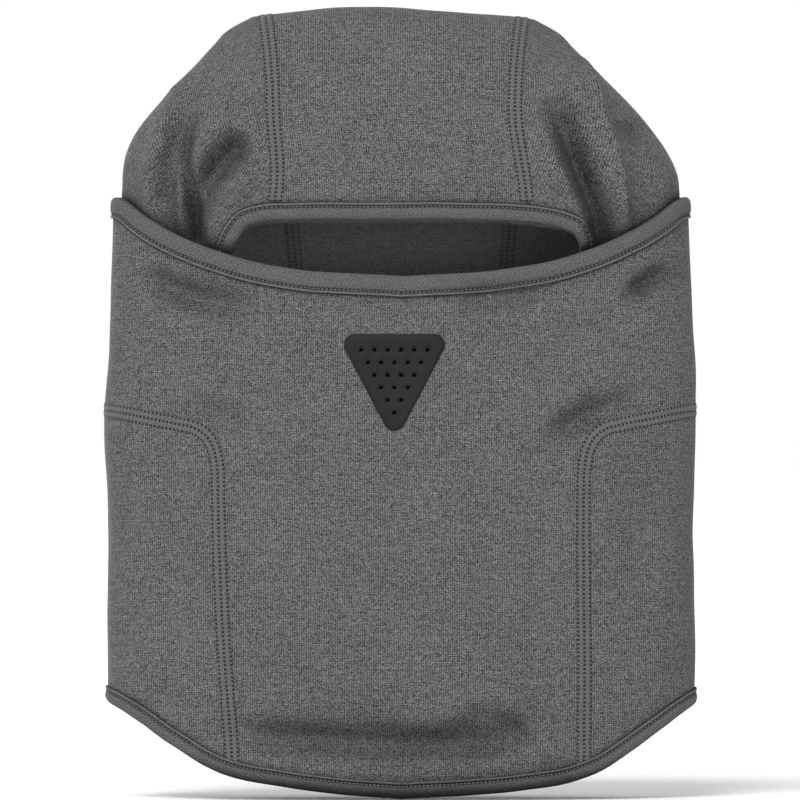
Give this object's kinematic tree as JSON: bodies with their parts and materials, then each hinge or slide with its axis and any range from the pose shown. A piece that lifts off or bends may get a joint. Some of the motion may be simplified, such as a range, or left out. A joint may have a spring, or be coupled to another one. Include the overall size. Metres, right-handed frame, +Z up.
{
  "type": "balaclava",
  "caption": "Knitted balaclava with a seamed hood, bound face opening, shaped neck tube and a sliding face mask with a perforated breathing patch.",
  "frame": {"origin": "middle of the plan outline at the height of the lowest point of the hem", "axes": "+Z up to the crown, -Y the way the face looks, +X the right of the picture and the wearer's left"},
  "size_m": [0.2792, 0.0863, 0.372],
  "materials": {
    "knit_fabric": "matt heathered knit, brushed inside",
    "binding_tape": "matt knitted tape",
    "thread": "matt textured thread",
    "vent_film": "matt bonded film"
  },
  "bodies": {
    "hood_and_neck": {"crown_panel": "knit_fabric", "hood_side_left": "knit_fabric", "hood_side_right": "knit_fabric", "face_binding": "binding_tape", "face_stitching": "thread", "crown_seam_left": "thread", "crown_seam_right": "thread", "neck_join_seam": "thread", "neck_front_panel": "knit_fabric", "neck_side_left": "knit_fabric", "neck_side_right": "knit_fabric", "neck_back_panel": "knit_fabric", "neck_seam_left": "thread", "neck_seam_right": "thread", "back_seam_left": "thread", "back_seam_right": "thread", "hem_binding": "binding_tape", "hem_stitching": "thread"},
    "mask": {"mask_panel": "knit_fabric", "mask_binding": "binding_tape", "mask_stitching": "thread", "wing_seam_left": "thread", "wing_seam_right": "thread", "vent_patch": "vent_film"}
  },
  "joints": [
    {"name": "mask_pull_down", "type": "slide", "parent": "hood_and_neck", "child": "mask", "axis": [0, 0, -1], "range_m": [0, 0.07]}
  ]
}
